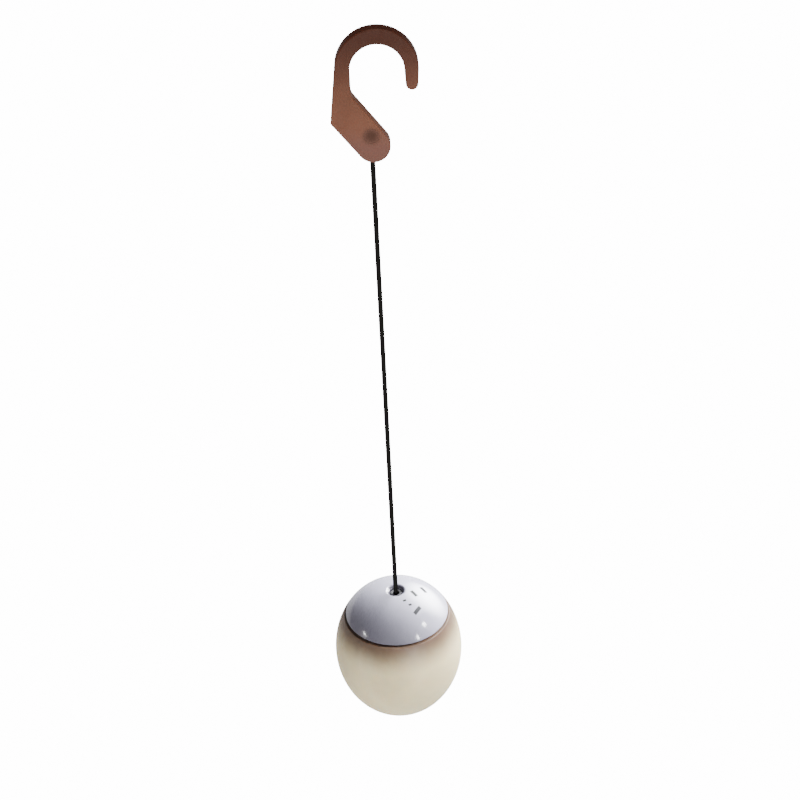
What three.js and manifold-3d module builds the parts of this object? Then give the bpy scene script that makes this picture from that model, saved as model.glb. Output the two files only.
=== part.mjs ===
// Hanging kitchen timer: a flat moulded hook, a thin cord, and an egg-shaped timer whose glowing
// lower shell turns and presses against its cap. Millimetres, +Z up. The origin is the point of the
// hook's eye that rests on a rail, straight above the cord. The hook lies in the XZ plane.

import * as THREE from 'three';
import { mergeVertices } from 'three/addons/utils/BufferGeometryUtils.js';
import Module from 'manifold-3d';

// ---- Driving dimensions -------------------------------------------------------------------------

const GAP = 0.3; // between pieces that touch on the real object

// Hook
const HOOK_THICKNESS = 6.2;
const EYE_RADIUS = 10.3; // inside of the eye
const EYE_X = 3.4; // the eye's centre lies to the right of the cord
const EYE_Z = -Math.sqrt(EYE_RADIUS ** 2 - EYE_X ** 2); // puts the origin on the eye's arc
const RIM = { x: 3.3, z: EYE_Z + 0.45, radius: 15.9 }; // outside of the band round the eye
const TIP = { x: 16.4, z: -15.4, radius: 2.4 };
const HEEL = { x: -15.3, z: -30.1 }; // the sharp outer corner
const LOBE = { x: 0.7, z: -40.1, radius: 6.6 }; // the round foot that holds the cord
const DIAGONAL_FACES = 0.645; // direction, in radians, that the diagonal's upper edge faces
const INNER_FILLET = 1.6; // length of the fillet's legs, where the eye meets the diagonal
const KNOT_POCKET = { z: -35.6, radius: 3, backY: 2.2 };
const BORE_MOUTH = { radius: 2.3, depth: 0.8 }; // flare that lets the cord swing
const COVER_THICKNESS = 0.5;
const HOOK_KNOT = { radius: 1.9, halfHeight: 1.9 };

// Cord
const CORD_RADIUS = 1.05;
const BORE_RADIUS = 1.5;
const BEND_RADIUS = 1.15; // the short stretch of cord that flexes at each end
const CORD_STEPS = 40;
const CORD_CURVE_STEPS = 8;

// Timer, measured from its widest plane
const MID_Z = -298.6;
const SHELL_RADIUS = 30;
const SHELL_DEPTH = 36; // widest plane to lowest point
const DOME_RISE = 34.5; // widest plane to the flattened top
const DOME_POWER = 2.25;
const SHELL_WALL = 2.4;
const CAP_WALL = 2.2;
const LIP_Z = 20.6; // top edge of the glowing shell
const PRESS_TRAVEL = 0.8;
const SEAM = PRESS_TRAVEL + 0.2; // open seam between shell and cap
const CAP_EDGE_Z = LIP_Z + SEAM;

const FUNNEL = { radius: 4.4, bottom: 33, hole: 3 }; // where the cord goes into the cap
const CAP_BOSS = { radius: 6, bottom: 29.5 };
const CAP_KNOT = { z: 25.6, radius: 2.6, halfHeight: 2.2 };

const BEND_TOP_Z = LOBE.z - Math.sqrt(LOBE.radius ** 2 - LOBE.x ** 2) - GAP;
const BEND_LOW = FUNNEL.bottom; // height of the lower bend above the widest plane

// Inner frame, turning ring and the pieces round them, as heights above the widest plane
const SLEEVE = { inner: 15.6, outer: 17.6, bottom: 5.2 };
const FLANGE = { inner: 10.6, outer: 21.2, bottom: 14.8, top: 16.3 };
const SKIRT = { inner: 19.9, outer: 21.3, bottom: FLANGE.top + GAP }; // of the cap, on the flange
const COLLAR = { outer: 18.9, bottom: 12.4 };
const GROOVE = { radius: 16.9, bottom: 6.1, top: 7.7 };
const RING = { inner: 18, outer: 24.3, bottom: 8, top: 12 };
const RING_TEETH = 30;
const RING_SLOT_PLAY = 0.4; // on each side of a rib
const TOOTH_DEPTH = 0.5;
const RIB = { inner: 22, width: 3.6, bottom: 5.5, top: 13.6 };
const RIB_HOOK = { inner: 19.4, bottom: RING.top + GAP };
const SHELF = { radius: 25.2, top: 2.3, bottom: 0.8 };
const SHELF_UNDERCUT = 0.12; // angle below the widest plane where the bowl's lining ends
const PLATE = { radius: 26.2, bottom: SHELF.top + GAP, thickness: 1.2, postRadius: 2 };
const PLATE_TOP = PLATE.bottom + PLATE.thickness;
const BOARD = { radius: 19.4, bottom: 16.7, thickness: 1.2, holePlay: 0.4 };
const BOARD_TOP = BOARD.bottom + BOARD.thickness;
const BOSS = { distance: 13.2, radius: 2, pilot: 1.1, top: 30, bottom: FLANGE.top + GAP };
const SCREW = { headRadius: 1.7, headHeight: 1.5, shaftRadius: 0.8, length: 8.5 };
const CONTACT = { radius: 3, thickness: 0.4 };
const CELL = { radius: 10, thickness: 3.2 }; // a 2032 coin cell
const CELL_BOTTOM = BOARD_TOP + CONTACT.thickness + 2 * GAP;
const CELL_TOP = CELL_BOTTOM + CELL.thickness;
const CLIP = { width: 8, thickness: 0.5, legX: CELL.radius + 0.6 };
const BUZZER = { distance: 14.6, radius: 4.2, height: 3.6, port: 1 };
const CHIP = { x: 12.5, y: -9.5, length: 5, width: 4, height: 1.2 };
const SWITCH = { size: 6, height: 3.5, wellRadius: 2.1, wellDepth: 2 };
const SWITCH_BOTTOM = BOARD.bottom - GAP - SWITCH.height;
const PLUNGER = { radius: 1.7, bottom: SWITCH_BOTTOM - 1.7, topGap: 0.5 };
const SPRING = { radius: 20.7, wire: 0.4, turns: 2 };
const WASHER = { outer: 5, thickness: 0.8, top: CAP_BOSS.bottom - 2 * GAP };
const MAGNET = { distance: 20.7, radius: 1.2, height: 1.5, pocket: 1.5, pocketDepth: 2 };
const LED = { size: 3, height: 1.2, distance: 8.3 };
const SENSOR = { size: 2, width: 3, height: 1.1, distance: 17.9 };
const DETENT = {
  inner: 14.9, outer: 15.3, reach: 17.7, bottom: 8.9, height: 2, halfAngle: 0.45, noseHalfAngle: 0.065,
};
const DETENT_WINDOW = { width: 3.2, play: 0.4 };
const RETAINER_OVERHANG = 0.5; // of the clip, past the collar

const PAST = 1; // how far a cutting shape reaches past what it cuts
const OVERLAP = 0.5; // how far a notch reaches inwards past the piece that it leaves room for

const ROUND = 40; // sides of the shell and the cap
const INNER_ROUND = 32; // sides of the large pieces inside
const SMALL_ROUND = 20; // sides of the small ones
const TINY_ROUND = 12; // sides of the screws, magnets and knots
const BOSS_TURN = Math.PI / 6; // the screws stand between the ribs
const MAGNET_TURN = Math.PI / 3;

// ---- Solids -------------------------------------------------------------------------------------

const wasm = await Module();
wasm.setup();

function toSolid(geometry) {
  const bare = geometry.clone();
  bare.deleteAttribute('normal');
  bare.deleteAttribute('uv');
  const merged = mergeVertices(bare, 1e-4);
  const index = Array.from(merged.index.array);
  const kept = [];
  for (let i = 0; i < index.length; i += 3) {
    const [a, b, c] = index.slice(i, i + 3);
    if (a !== b && b !== c && c !== a) kept.push(a, b, c);
  }
  return new wasm.Manifold(new wasm.Mesh({
    numProp: 3,
    vertProperties: new Float32Array(merged.attributes.position.array),
    triVerts: new Uint32Array(kept),
  }));
}

function toGeometry(solid) {
  const mesh = solid.getMesh();
  const geometry = new THREE.BufferGeometry();
  geometry.setAttribute('position', new THREE.BufferAttribute(mesh.vertProperties, 3));
  geometry.setIndex(new THREE.BufferAttribute(mesh.triVerts, 1));
  geometry.computeVertexNormals();
  return geometry;
}

const cut = (geometry, tools) =>
  toGeometry(tools.reduce((solid, tool) => solid.subtract(toSolid(tool)), toSolid(geometry)));

const join = (geometry, others) =>
  toGeometry(others.reduce((solid, other) => solid.add(toSolid(other)), toSolid(geometry)));

const overlap = (a, b) => toGeometry(toSolid(a).intersect(toSolid(b)));

// A profile of [radius, height] points turned round Z. It runs anticlockwise: up its outer side.
function turned(profile, sides = ROUND) {
  const first = profile[0];
  const last = profile[profile.length - 1];
  const closed = first[0] === 0 && last[0] === 0 ? profile : [...profile, first];
  return new THREE.LatheGeometry(closed.map(([r, z]) => new THREE.Vector2(r, z)), sides)
    .rotateX(Math.PI / 2);
}

const tube = (inner, outer, bottom, top, sides = INNER_ROUND) =>
  turned([[inner, bottom], [outer, bottom], [outer, top], [inner, top]], sides);

const disc = (radius, bottom, top, sides = SMALL_ROUND) =>
  turned([[0, bottom], [radius, bottom], [radius, top], [0, top]], sides);

const block = (x, y, z, bottom) => new THREE.BoxGeometry(x, y, z).translate(0, 0, bottom + z / 2);

// A block that starts at radius `inner`, reaches to `outer` along X and is then turned round Z.
const radialBlock = (inner, outer, width, bottom, top, turn) =>
  block(outer - inner, width, top - bottom, bottom)
    .translate((inner + outer) / 2, 0, 0)
    .rotateZ(turn);

const around = (count, make, start = 0) =>
  Array.from({ length: count }, (_, i) => make(start + (i * 2 * Math.PI) / count, i));

// Points of a curve given as a function of 0..1, ends included.
const sampled = (steps, at) => Array.from({ length: steps + 1 }, (_, i) => at(i / steps));

// ---- Outline of the timer -----------------------------------------------------------------------

// Upper curve: a flattened dome. `from` and `to` are heights, the result is [radius, height] points.
function domeCurve(radius, rise, from, to, steps) {
  const start = Math.asin(from / rise);
  const end = Math.asin(to / rise);
  return sampled(steps, (k) => {
    const t = start + (end - start) * k;
    return [radius * Math.cos(t) ** (2 / DOME_POWER), rise * Math.sin(t)];
  });
}

// Lower curve: half an ellipse, from the lowest point at angle 0 to the widest plane at PI / 2.
const bowlCurve = (radius, depth, from, to, steps) =>
  sampled(steps, (k) => {
    const t = from + (to - from) * k;
    return [radius * Math.sin(t), -depth * Math.cos(t)];
  });

const domeHeight = (radius, rise, r) => rise * Math.sqrt(1 - (r / radius) ** DOME_POWER);

// ---- Hook ---------------------------------------------------------------------------------------

// Angle, seen from the circle's centre, of the point where a line from outside touches it.
function touchAngle(point, circle, side) {
  const dx = point.x - circle.x;
  const dz = point.z - circle.z;
  return Math.atan2(dz, dx) + side * Math.acos(circle.radius / Math.hypot(dx, dz));
}

function hookOutline() {
  const innerLeft = EYE_X - EYE_RADIUS;
  const across = new THREE.Vector2(Math.cos(DIAGONAL_FACES), Math.sin(DIAGONAL_FACES));
  const edge = new THREE.Vector2(-across.y, across.x); // runs up and to the left
  const foot = new THREE.Vector2(LOBE.x, LOBE.z).addScaledVector(across, LOBE.radius);
  const corner = foot.clone().addScaledVector(edge, (innerLeft - foot.x) / edge.x);
  const beforeCorner = corner.clone().addScaledVector(edge, -INNER_FILLET);

  const outline = new THREE.Shape();
  outline.absarc(LOBE.x, LOBE.z, LOBE.radius,
    touchAngle(HEEL, LOBE, 1), DIAGONAL_FACES + 2 * Math.PI, false);
  outline.lineTo(beforeCorner.x, beforeCorner.y);
  outline.quadraticCurveTo(corner.x, corner.y, corner.x, corner.y + INNER_FILLET);
  outline.absarc(EYE_X, EYE_Z, EYE_RADIUS, Math.PI, 0, true);
  outline.absarc(TIP.x, TIP.z, TIP.radius, Math.PI, 2 * Math.PI, false);
  outline.absarc(RIM.x, RIM.z, RIM.radius, 0, touchAngle(HEEL, RIM, -1) + 2 * Math.PI, false);
  outline.lineTo(HEEL.x, HEEL.z);
  outline.closePath();
  return outline;
}

const upright = (geometry, frontY) => geometry.rotateX(Math.PI / 2).translate(0, -frontY, 0);

function hookBody() {
  const slab = new THREE.ExtrudeGeometry(hookOutline(), {
    depth: HOOK_THICKNESS, bevelEnabled: false, curveSegments: 18,
  });
  const front = HOOK_THICKNESS / 2;
  const pocket = new THREE.CylinderGeometry(
    KNOT_POCKET.radius, KNOT_POCKET.radius, front + KNOT_POCKET.backY + PAST, SMALL_ROUND,
  ).translate(0, (KNOT_POCKET.backY - front - PAST) / 2, KNOT_POCKET.z);
  const footZ = LOBE.z - LOBE.radius;
  const bore = turned([
    [0, footZ - PAST], [BORE_MOUTH.radius, footZ - PAST], [BORE_MOUTH.radius, footZ],
    [BORE_RADIUS, footZ + BORE_MOUTH.depth], [BORE_RADIUS, KNOT_POCKET.z], [0, KNOT_POCKET.z],
  ], SMALL_ROUND);
  return cut(upright(slab, -front), [pocket, bore]);
}

function knotCover() {
  const radius = KNOT_POCKET.radius - GAP;
  return new THREE.CylinderGeometry(radius, radius, COVER_THICKNESS, SMALL_ROUND)
    .translate(0, (COVER_THICKNESS - HOOK_THICKNESS) / 2, KNOT_POCKET.z);
}

// A round knot with a stem of cord below or above it.
function knot(centreZ, radius, halfHeight, stemEndZ) {
  const meet = Math.asin(CORD_RADIUS / radius);
  const below = stemEndZ < centreZ;
  const ball = sampled(6, (k) => {
    const t = meet + (Math.PI - meet) * k;
    return [radius * Math.sin(t), centreZ + (below ? -1 : 1) * halfHeight * Math.cos(t)];
  });
  ball[ball.length - 1][0] = 0;
  const profile = [[0, stemEndZ], [CORD_RADIUS, stemEndZ], ...ball];
  return turned(below ? profile : profile.reverse(), TINY_ROUND);
}

// ---- Cord ---------------------------------------------------------------------------------------

function cordSection() {
  const section = new THREE.Shape();
  section.absarc(0, 0, CORD_RADIUS, 0, 2 * Math.PI, false);
  return section;
}

const freeCord = () =>
  new THREE.ExtrudeGeometry(cordSection(), {
    steps: CORD_STEPS,
    curveSegments: CORD_CURVE_STEPS,
    extrudePath: new THREE.LineCurve3(
      new THREE.Vector3(0, 0, BEND_TOP_Z - BEND_RADIUS - GAP),
      new THREE.Vector3(0, 0, MID_Z + BEND_LOW + BEND_RADIUS + GAP),
    ),
  });

const cordBend = (z) =>
  new THREE.SphereGeometry(BEND_RADIUS, TINY_ROUND, TINY_ROUND / 2).translate(0, 0, z);

// ---- Cap and what is fixed to it ----------------------------------------------------------------

const atBosses = (make) =>
  around(3, (turn) => make().translate(BOSS.distance, 0, 0).rotateZ(turn), BOSS_TURN);

function capShell() {
  const innerRadius = SHELL_RADIUS - CAP_WALL;
  const innerRise = DOME_RISE - CAP_WALL;
  const funnelTop = domeHeight(SHELL_RADIUS, DOME_RISE, FUNNEL.radius);
  const outer = domeCurve(SHELL_RADIUS, DOME_RISE, CAP_EDGE_Z, funnelTop, 10);
  const bossTop = domeHeight(innerRadius, innerRise, CAP_BOSS.radius);
  const skirtTop = domeHeight(innerRadius, innerRise, SKIRT.inner);
  const inner = domeCurve(innerRadius, innerRise, skirtTop, bossTop, 5).reverse();
  const dome = turned([
    [SKIRT.outer, SKIRT.bottom], [SKIRT.outer, CAP_EDGE_Z], ...outer,
    [FUNNEL.hole, FUNNEL.bottom], [FUNNEL.hole, CAP_BOSS.bottom],
    [CAP_BOSS.radius, CAP_BOSS.bottom], ...inner, [SKIRT.inner, SKIRT.bottom],
  ]);
  const posts = atBosses(() => disc(BOSS.radius, BOSS.bottom, BOSS.top));
  const pilots = atBosses(() =>
    disc(BOSS.pilot, BOSS.bottom - PAST, BOSS.bottom + SCREW.length, TINY_ROUND));
  return cut(join(dome, posts), pilots);
}

const cordGrommet = () =>
  tube(BORE_RADIUS, FUNNEL.hole - GAP, WASHER.top + GAP, FUNNEL.bottom - GAP, SMALL_ROUND);

const knotWasher = () =>
  tube(BORE_RADIUS, WASHER.outer, WASHER.top - WASHER.thickness, WASHER.top, SMALL_ROUND);

function innerFrame() {
  const frame = turned([
    [SLEEVE.inner, SLEEVE.bottom], [SLEEVE.outer, SLEEVE.bottom],
    [SLEEVE.outer, GROOVE.bottom], [GROOVE.radius, GROOVE.bottom],
    [GROOVE.radius, GROOVE.top], [SLEEVE.outer, GROOVE.top],
    [SLEEVE.outer, COLLAR.bottom], [COLLAR.outer, COLLAR.bottom],
    [COLLAR.outer, FLANGE.bottom], [FLANGE.outer, FLANGE.bottom],
    [FLANGE.outer, FLANGE.top], [FLANGE.inner, FLANGE.top],
    [FLANGE.inner, FLANGE.bottom], [SLEEVE.inner, FLANGE.bottom],
  ], INNER_ROUND);
  const screwHoles = atBosses(() =>
    disc(BOSS.pilot, FLANGE.bottom - PAST, FLANGE.top + PAST, TINY_ROUND));
  const sensorWindow = radialBlock(
    SENSOR.distance - SENSOR.size / 2 - 2 * GAP, SENSOR.distance + SENSOR.size / 2 + 2 * GAP,
    SENSOR.width + 4 * GAP, FLANGE.bottom - PAST, FLANGE.top + PAST, 0,
  );
  const detentWindow = radialBlock(
    SLEEVE.inner - PAST, SLEEVE.outer + PAST, DETENT_WINDOW.width,
    DETENT.bottom - DETENT_WINDOW.play, DETENT.bottom + DETENT.height + DETENT_WINDOW.play,
    -Math.PI / 2,
  );
  return cut(frame, [...screwHoles, sensorWindow, detentWindow]);
}

const frameScrew = (turn) =>
  turned([
    [0, FLANGE.bottom - GAP - SCREW.headHeight],
    [SCREW.headRadius, FLANGE.bottom - GAP - SCREW.headHeight],
    [SCREW.headRadius, FLANGE.bottom - GAP],
    [SCREW.shaftRadius, FLANGE.bottom - GAP],
    [SCREW.shaftRadius, FLANGE.bottom - GAP + SCREW.length],
    [0, FLANGE.bottom - GAP + SCREW.length],
  ], TINY_ROUND).translate(BOSS.distance, 0, 0).rotateZ(turn);

function circuitBoard() {
  const holes = atBosses(() =>
    disc(BOSS.radius + BOARD.holePlay, BOARD.bottom - PAST, BOARD_TOP + PAST));
  return cut(disc(BOARD.radius, BOARD.bottom, BOARD_TOP, INNER_ROUND), holes);
}

const cellContact = () =>
  disc(CONTACT.radius, BOARD_TOP + GAP, BOARD_TOP + GAP + CONTACT.thickness);

function cellClip() {
  const span = 2 * (CLIP.legX + CLIP.thickness);
  const height = CELL_TOP + GAP + CLIP.thickness - (BOARD_TOP + GAP);
  const outside = block(span, CLIP.width, height, BOARD_TOP + GAP);
  const inside = block(2 * CLIP.legX, CLIP.width + PAST, height, BOARD_TOP + GAP - CLIP.thickness);
  return cut(outside, [inside]);
}

const buzzer = () =>
  cut(disc(BUZZER.radius, BOARD_TOP + GAP, BOARD_TOP + GAP + BUZZER.height), [
    disc(BUZZER.port, BOARD_TOP + BUZZER.height - PAST, BOARD_TOP + BUZZER.height + PAST, TINY_ROUND),
  ]).translate(0, BUZZER.distance, 0);

const timerChip = () =>
  block(CHIP.length, CHIP.width, CHIP.height, BOARD_TOP + GAP).translate(CHIP.x, CHIP.y, 0);

const led = (turn) =>
  radialBlock(LED.distance - LED.size / 2, LED.distance + LED.size / 2, LED.size,
    BOARD.bottom - GAP - LED.height, BOARD.bottom - GAP, turn);

const hallSensor = () =>
  radialBlock(SENSOR.distance - SENSOR.size / 2, SENSOR.distance + SENSOR.size / 2, SENSOR.width,
    BOARD.bottom - GAP - SENSOR.height, BOARD.bottom - GAP, 0);

const switchBase = () =>
  cut(block(SWITCH.size, SWITCH.size, SWITCH.height, SWITCH_BOTTOM), [
    disc(SWITCH.wellRadius, SWITCH_BOTTOM - PAST, SWITCH_BOTTOM + SWITCH.wellDepth),
  ]);

const switchPlunger = () =>
  disc(PLUNGER.radius, PLUNGER.bottom,
    SWITCH_BOTTOM + SWITCH.wellDepth - PRESS_TRAVEL - PLUNGER.topGap);

// An arc strip inside the sleeve with a rounded nose that reaches through the sleeve's window.
function detentLeaf() {
  const middle = -Math.PI / 2;
  const low = middle - DETENT.halfAngle;
  const high = middle + DETENT.halfAngle;
  const noseEnd = middle - DETENT.noseHalfAngle;
  const strip = new THREE.Shape();
  strip.absarc(0, 0, DETENT.inner, low, high, false);
  strip.absarc(0, 0, DETENT.outer, high, middle + DETENT.noseHalfAngle, true);
  strip.quadraticCurveTo(0, DETENT.outer - 2 * DETENT.reach,
    DETENT.outer * Math.cos(noseEnd), DETENT.outer * Math.sin(noseEnd));
  strip.absarc(0, 0, DETENT.outer, noseEnd, low, true);
  strip.closePath();
  return new THREE.ExtrudeGeometry(strip, {
    depth: DETENT.height, bevelEnabled: false, curveSegments: 8,
  }).translate(0, 0, DETENT.bottom);
}

const retainingClip = () =>
  tube(GROOVE.radius + GAP, COLLAR.outer + RETAINER_OVERHANG, GROOVE.bottom + GAP, GROOVE.top - GAP);

// ---- Turning ring -------------------------------------------------------------------------------

function turnRing() {
  const outline = new THREE.Shape();
  outline.absarc(0, 0, RING.outer, 0, 2 * Math.PI, false);
  const teeth = new THREE.Path();
  const points = Array.from({ length: 2 * RING_TEETH }, (_, i) => {
    const turn = (i * Math.PI) / RING_TEETH;
    const r = RING.inner + (i % 2) * TOOTH_DEPTH;
    return new THREE.Vector2(r * Math.cos(turn), r * Math.sin(turn));
  });
  teeth.setFromPoints(points);
  outline.holes.push(teeth);
  const ring = new THREE.ExtrudeGeometry(outline, {
    depth: RING.top - RING.bottom, bevelEnabled: false, curveSegments: INNER_ROUND,
  }).translate(0, 0, RING.bottom);
  const slots = around(3, (turn) =>
    radialBlock(RIB.inner - OVERLAP, RING.outer + PAST, RIB.width + 2 * RING_SLOT_PLAY,
      RING.bottom - PAST, RING.top + PAST, turn));
  const pockets = around(3, (turn) =>
    disc(MAGNET.pocket, RING.top - MAGNET.pocketDepth, RING.top + PAST, TINY_ROUND)
      .translate(MAGNET.distance, 0, 0)
      .rotateZ(turn), MAGNET_TURN);
  return cut(ring, [...slots, ...pockets]);
}

const magnet = (turn) => {
  const bottom = RING.top - MAGNET.pocketDepth + GAP;
  return disc(MAGNET.radius, bottom, bottom + MAGNET.height, TINY_ROUND)
    .translate(MAGNET.distance, 0, 0)
    .rotateZ(turn);
};

// ---- Glowing shell and what is fixed in it ------------------------------------------------------

function glowShell() {
  const innerRadius = SHELL_RADIUS - SHELL_WALL;
  const innerDepth = SHELL_DEPTH - SHELL_WALL;
  const lipInner = domeCurve(SHELL_RADIUS, DOME_RISE, LIP_Z, LIP_Z, 1)[0][0] - SHELL_WALL;
  const innerRise = LIP_Z / Math.sqrt(1 - (lipInner / innerRadius) ** DOME_POWER);
  const shell = turned([
    ...bowlCurve(SHELL_RADIUS, SHELL_DEPTH, 0, Math.PI / 2, 11),
    ...domeCurve(SHELL_RADIUS, DOME_RISE, 0, LIP_Z, 6).slice(1),
    ...domeCurve(innerRadius, innerRise, SHELF.top, LIP_Z, 5).reverse(),
    [SHELF.radius, SHELF.top], [SHELF.radius, SHELF.bottom],
    ...bowlCurve(innerRadius, innerDepth, 0, Math.PI / 2 - SHELF_UNDERCUT, 8).reverse(),
  ]);
  const middle = turned([
    ...bowlCurve(SHELL_RADIUS - SHELL_WALL / 2, innerDepth, 0, Math.PI / 2, 4),
    ...domeCurve(SHELL_RADIUS - SHELL_WALL / 2, DOME_RISE - SHELL_WALL / 2, 0, LIP_Z, 6).slice(1),
    [0, LIP_Z],
  ]);
  const rib = (turn) => join(
    overlap(radialBlock(RIB.inner, SHELL_RADIUS, RIB.width, RIB.bottom, RIB.top, turn), middle),
    [radialBlock(RIB_HOOK.inner, RIB.inner + OVERLAP, RIB.width, RIB_HOOK.bottom, RIB.top, turn)],
  );
  return join(shell, around(3, rib));
}

// A clear disc that spreads the light, with a post that presses the switch.
function pressPlate() {
  const plate = turned([
    [0, PLATE.bottom], [PLATE.radius, PLATE.bottom], [PLATE.radius, PLATE_TOP],
    [PLATE.postRadius, PLATE_TOP], [PLATE.postRadius, PLUNGER.bottom - GAP],
    [0, PLUNGER.bottom - GAP],
  ], INNER_ROUND);
  const notches = around(3, (turn) =>
    radialBlock(RIB.inner - OVERLAP, PLATE.radius + PAST, RIB.width + 2 * OVERLAP,
      PLATE.bottom - PAST, PLATE_TOP + PAST, turn), MAGNET_TURN);
  return cut(plate, notches);
}

class Coil extends THREE.Curve {
  constructor(radius, bottom, top, turns) {
    super();
    Object.assign(this, { radius, bottom, top, turns });
  }

  getPoint(k, target = new THREE.Vector3()) {
    const turn = k * this.turns * 2 * Math.PI;
    return target.set(
      this.radius * Math.cos(turn),
      this.radius * Math.sin(turn),
      this.bottom + (this.top - this.bottom) * k,
    );
  }
}

function returnSpring() {
  const wire = new THREE.Shape();
  wire.absarc(0, 0, SPRING.wire, 0, 2 * Math.PI, false);
  return new THREE.ExtrudeGeometry(wire, {
    steps: SPRING.turns * SMALL_ROUND,
    curveSegments: 5,
    extrudePath: new Coil(SPRING.radius, PLATE_TOP + GAP + SPRING.wire,
      RING.bottom - GAP - SPRING.wire, SPRING.turns),
  });
}

// ---- Materials ----------------------------------------------------------------------------------

const material = (color, roughness, metalness = 0) =>
  new THREE.MeshStandardMaterial({ color, roughness, metalness });

const HOOK_BROWN = material(0x7a5546, 0.45);
const COVER_BROWN = material(0x62463b, 0.55);
const CORD_BLACK = material(0x111112, 0.8);
const CAP_WHITE = material(0xdcdce4, 0.18);
const SHELL_CREAM = material(0xd8d5c6, 0.5);
const FRAME_WHITE = material(0xe8e6df, 0.5);
const CLEAR = material(0xeaf0f2, 0.15);
const RUBBER = material(0x161616, 0.85);
const STEEL = material(0xb9bcc0, 0.3, 1);
const BOARD_GREEN = material(0x1f5a38, 0.5);
const CHIP_BLACK = material(0x1b1b1d, 0.5);
const LED_YELLOW = material(0xf1e3a6, 0.3);
const MAGNET_GREY = material(0x6f7378, 0.35, 1);

// ---- Assembly -----------------------------------------------------------------------------------

const named = (name, geometry, finish) => {
  const mesh = new THREE.Mesh(geometry, finish);
  mesh.name = name;
  return mesh;
};

const hook = new THREE.Group();
hook.add(
  named('hook_body', hookBody(), HOOK_BROWN),
  named('knot_cover', knotCover(), COVER_BROWN),
  named('hook_knot', knot(KNOT_POCKET.z, HOOK_KNOT.radius, HOOK_KNOT.halfHeight,
    BEND_TOP_Z + BEND_RADIUS + GAP), CORD_BLACK),
);

const cord = new THREE.Group();
cord.add(
  named('cord_upper_bend', cordBend(BEND_TOP_Z), CORD_BLACK),
  named('cord', freeCord(), CORD_BLACK),
  named('cord_lower_bend', cordBend(MID_Z + BEND_LOW), CORD_BLACK),
);

const cap = new THREE.Group();
cap.add(
  named('cap_knot', knot(CAP_KNOT.z, CAP_KNOT.radius, CAP_KNOT.halfHeight,
    BEND_LOW - BEND_RADIUS - GAP), CORD_BLACK),
  named('cap_shell', capShell(), CAP_WHITE),
  named('cord_grommet', cordGrommet(), RUBBER),
  named('knot_washer', knotWasher(), STEEL),
  named('inner_frame', innerFrame(), FRAME_WHITE),
  ...around(3, (turn, i) => named(`frame_screw_${i + 1}`, frameScrew(turn), STEEL), BOSS_TURN),
  named('circuit_board', circuitBoard(), BOARD_GREEN),
  named('cell_contact', cellContact(), STEEL),
  named('coin_cell', disc(CELL.radius, CELL_BOTTOM, CELL_TOP, INNER_ROUND), STEEL),
  named('cell_clip', cellClip(), STEEL),
  named('buzzer', buzzer(), CHIP_BLACK),
  named('timer_chip', timerChip(), CHIP_BLACK),
  named('hall_sensor', hallSensor(), CHIP_BLACK),
  ...around(4, (turn, i) => named(`led_${i + 1}`, led(turn), LED_YELLOW), Math.PI / 4),
  named('switch_base', switchBase(), CHIP_BLACK),
  named('switch_plunger', switchPlunger(), CHIP_BLACK),
  named('detent_leaf', detentLeaf(), STEEL),
  named('retaining_clip', retainingClip(), STEEL),
);

const ring = new THREE.Group();
ring.add(
  named('turn_ring', turnRing(), FRAME_WHITE),
  ...around(3, (turn, i) => named(`ring_magnet_${i + 1}`, magnet(turn), MAGNET_GREY), MAGNET_TURN),
  named('return_spring', returnSpring(), STEEL),
);

const shell = new THREE.Group();
shell.add(
  named('press_plate', pressPlate(), CLEAR),
  named('glow_shell', glowShell(), SHELL_CREAM),
);

const timer = new THREE.Group();
timer.position.set(0, 0, MID_Z);
timer.add(cap, ring, shell);

const kitchenTimer = new THREE.Group();
kitchenTimer.add(hook, cord, timer);

export default kitchenTimer;
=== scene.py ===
"""Looks of the hanging kitchen timer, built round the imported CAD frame. Metres, +Z up."""
import math

import bmesh
import bpy
from mathutils import Matrix, Vector


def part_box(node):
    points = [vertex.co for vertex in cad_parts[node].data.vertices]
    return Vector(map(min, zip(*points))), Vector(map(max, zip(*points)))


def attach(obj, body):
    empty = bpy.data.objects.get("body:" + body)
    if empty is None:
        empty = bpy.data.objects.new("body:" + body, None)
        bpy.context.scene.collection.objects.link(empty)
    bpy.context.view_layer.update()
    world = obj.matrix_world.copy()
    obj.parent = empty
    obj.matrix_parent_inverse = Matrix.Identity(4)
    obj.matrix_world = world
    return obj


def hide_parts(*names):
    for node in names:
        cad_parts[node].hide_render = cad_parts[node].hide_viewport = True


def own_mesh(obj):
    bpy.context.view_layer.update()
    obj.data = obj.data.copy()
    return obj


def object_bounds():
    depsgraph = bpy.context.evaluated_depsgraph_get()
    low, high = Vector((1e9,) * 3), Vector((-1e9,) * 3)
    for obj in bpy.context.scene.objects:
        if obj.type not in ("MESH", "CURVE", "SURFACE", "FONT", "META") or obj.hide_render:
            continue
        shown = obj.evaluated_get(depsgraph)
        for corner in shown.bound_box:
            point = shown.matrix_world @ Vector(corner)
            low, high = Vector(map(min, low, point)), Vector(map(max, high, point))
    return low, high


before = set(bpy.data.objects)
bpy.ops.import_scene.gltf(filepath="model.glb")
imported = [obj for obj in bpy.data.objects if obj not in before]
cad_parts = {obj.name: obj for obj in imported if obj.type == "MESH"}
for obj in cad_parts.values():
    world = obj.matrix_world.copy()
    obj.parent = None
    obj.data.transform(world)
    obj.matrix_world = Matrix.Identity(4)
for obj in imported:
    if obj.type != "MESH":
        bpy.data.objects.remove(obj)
cad_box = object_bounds()

MM = 0.001

# ---- Dimensions, the same as the CAD part's ------------------------------------------------------

HOOK_HALF = 3.1 * MM
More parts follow.
